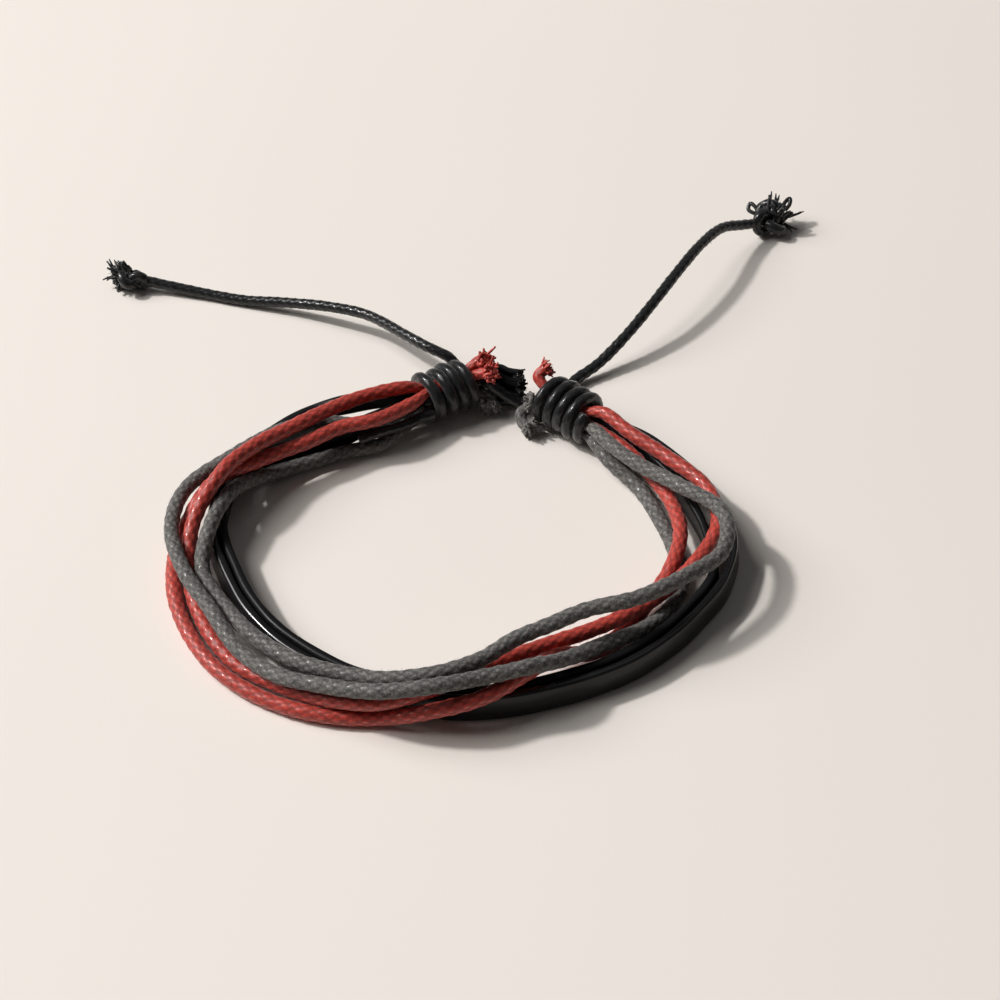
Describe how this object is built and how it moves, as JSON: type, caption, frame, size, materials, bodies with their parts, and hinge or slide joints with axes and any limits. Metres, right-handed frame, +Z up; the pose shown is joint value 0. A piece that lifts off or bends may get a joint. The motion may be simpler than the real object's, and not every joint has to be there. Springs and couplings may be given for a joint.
{
  "type": "leather and cord bracelet",
  "caption": "Adjustable bracelet of narrow leather strips and waxed cotton cords, gathered by lashed wraps with draw cords that end in knots.",
  "frame": {"origin": "on the table, in the middle of the loop's outline", "axes": "+Z up, +Y towards the two wraps, +X to the side where the loop is widest"},
  "size_m": [0.0885, 0.089, 0.0085],
  "materials": {
    "red_cord": "waxed, satin",
    "grey_cord": "waxed, matte and slightly hairy",
    "leather_strip": "smooth, semi-gloss",
    "black_cord": "waxed, satin"
  },
  "bodies": {
    "root": {"red_cord_1": "red_cord", "red_cord_2": "red_cord", "grey_cord_1": "grey_cord", "grey_cord_2": "grey_cord", "leather_strip_1": "leather_strip", "leather_strip_2": "leather_strip", "left_wrap": "black_cord", "right_wrap": "black_cord", "link_cord_1": "black_cord", "link_cord_2": "black_cord", "left_draw_cord": "black_cord", "right_draw_cord": "black_cord", "left_end_knot": "black_cord", "right_end_knot": "black_cord"}
  },
  "joints": []
}
